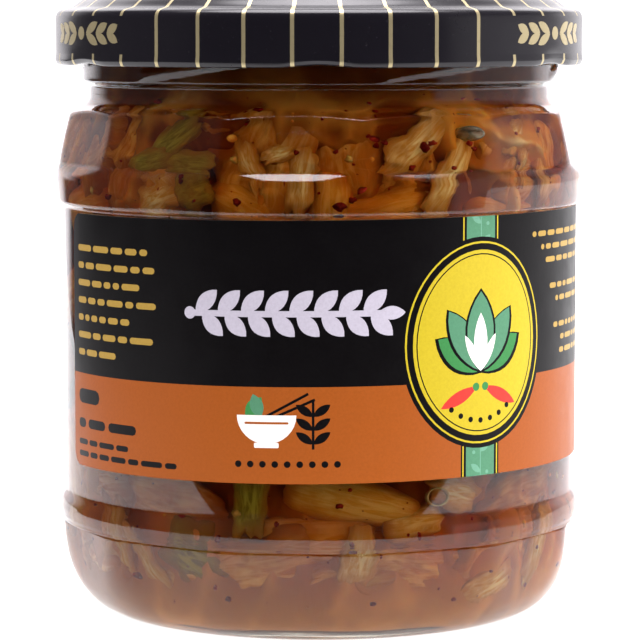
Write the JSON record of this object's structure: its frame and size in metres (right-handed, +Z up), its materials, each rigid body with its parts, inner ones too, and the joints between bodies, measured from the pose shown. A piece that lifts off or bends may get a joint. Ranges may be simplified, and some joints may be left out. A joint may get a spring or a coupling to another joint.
{
  "type": "kimchi jar",
  "caption": "Sealed round glass jar of kimchi with a twist-off metal lid, a faceted shoulder and heel, and a wrapped two-colour paper label.",
  "frame": {"origin": "middle of the jar's base, on the plane of its contact ring", "axes": "+Z up along the jar's axis, the label's front faces -Y, +X to the right of the front"},
  "size_m": [0.0856, 0.0856, 0.0994],
  "materials": {
    "glass": "clear, polished",
    "lid": "satin black lacquer with thin gold stripes",
    "label": "satin print, black above orange",
    "kimchi": "wet, amber to orange-red"
  },
  "bodies": {
    "root": {"glass_jar": "glass", "lid": "lid", "label": "label", "kimchi_heap": "kimchi"}
  },
  "joints": []
}
